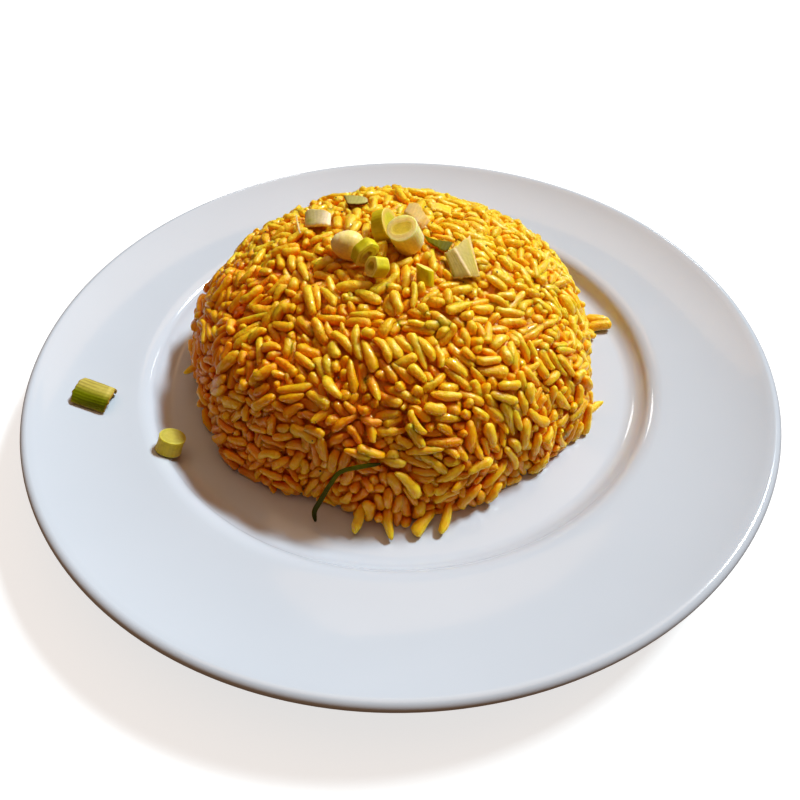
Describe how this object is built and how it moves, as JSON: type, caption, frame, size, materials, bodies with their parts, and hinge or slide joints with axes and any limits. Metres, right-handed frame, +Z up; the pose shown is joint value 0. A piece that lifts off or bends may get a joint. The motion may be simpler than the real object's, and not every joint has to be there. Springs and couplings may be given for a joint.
{
  "type": "fried rice plate",
  "caption": "A moulded dome of glossy yellow fried rice on a round white porcelain rim plate, scattered with cut spring onion.",
  "frame": {"origin": "middle of the plate's underside, on the surface that it stands on", "axes": "+Z up out of the plate, -Y towards the diner's side with the hanging shred, +X to the right"},
  "size_m": [0.23, 0.23, 0.0637],
  "materials": {
    "porcelain": "white glazed porcelain, glossy",
    "rice": "cooked long rice, yellow, oily sheen, slightly translucent",
    "onion_pale": "pale stem of spring onion, moist",
    "onion_green": "yellow-green stem of spring onion, moist",
    "onion_leaf": "dark green leaf of spring onion, satin"
  },
  "bodies": {
    "root": {"plate": "porcelain", "rice_heap": "rice", "onion_slice_large": "onion_pale", "onion_slice_leaning": "onion_green", "onion_ring_green": "onion_green", "onion_ring_second": "onion_green", "onion_bit_green": "onion_green", "onion_slice_step": "onion_green", "onion_bulb_end": "onion_pale", "onion_sheath_folded": "onion_pale", "onion_leaf_dark": "onion_leaf", "onion_shell_pale": "onion_pale", "onion_arch_pale": "onion_pale", "onion_flake_dry": "onion_leaf", "onion_bit_pale": "onion_pale", "onion_tube_rim": "onion_leaf", "onion_shred": "onion_leaf", "rice_grain_stray_1": "rice", "rice_grain_stray_2": "rice", "rice_grain_stray_3": "rice"}
  },
  "joints": []
}
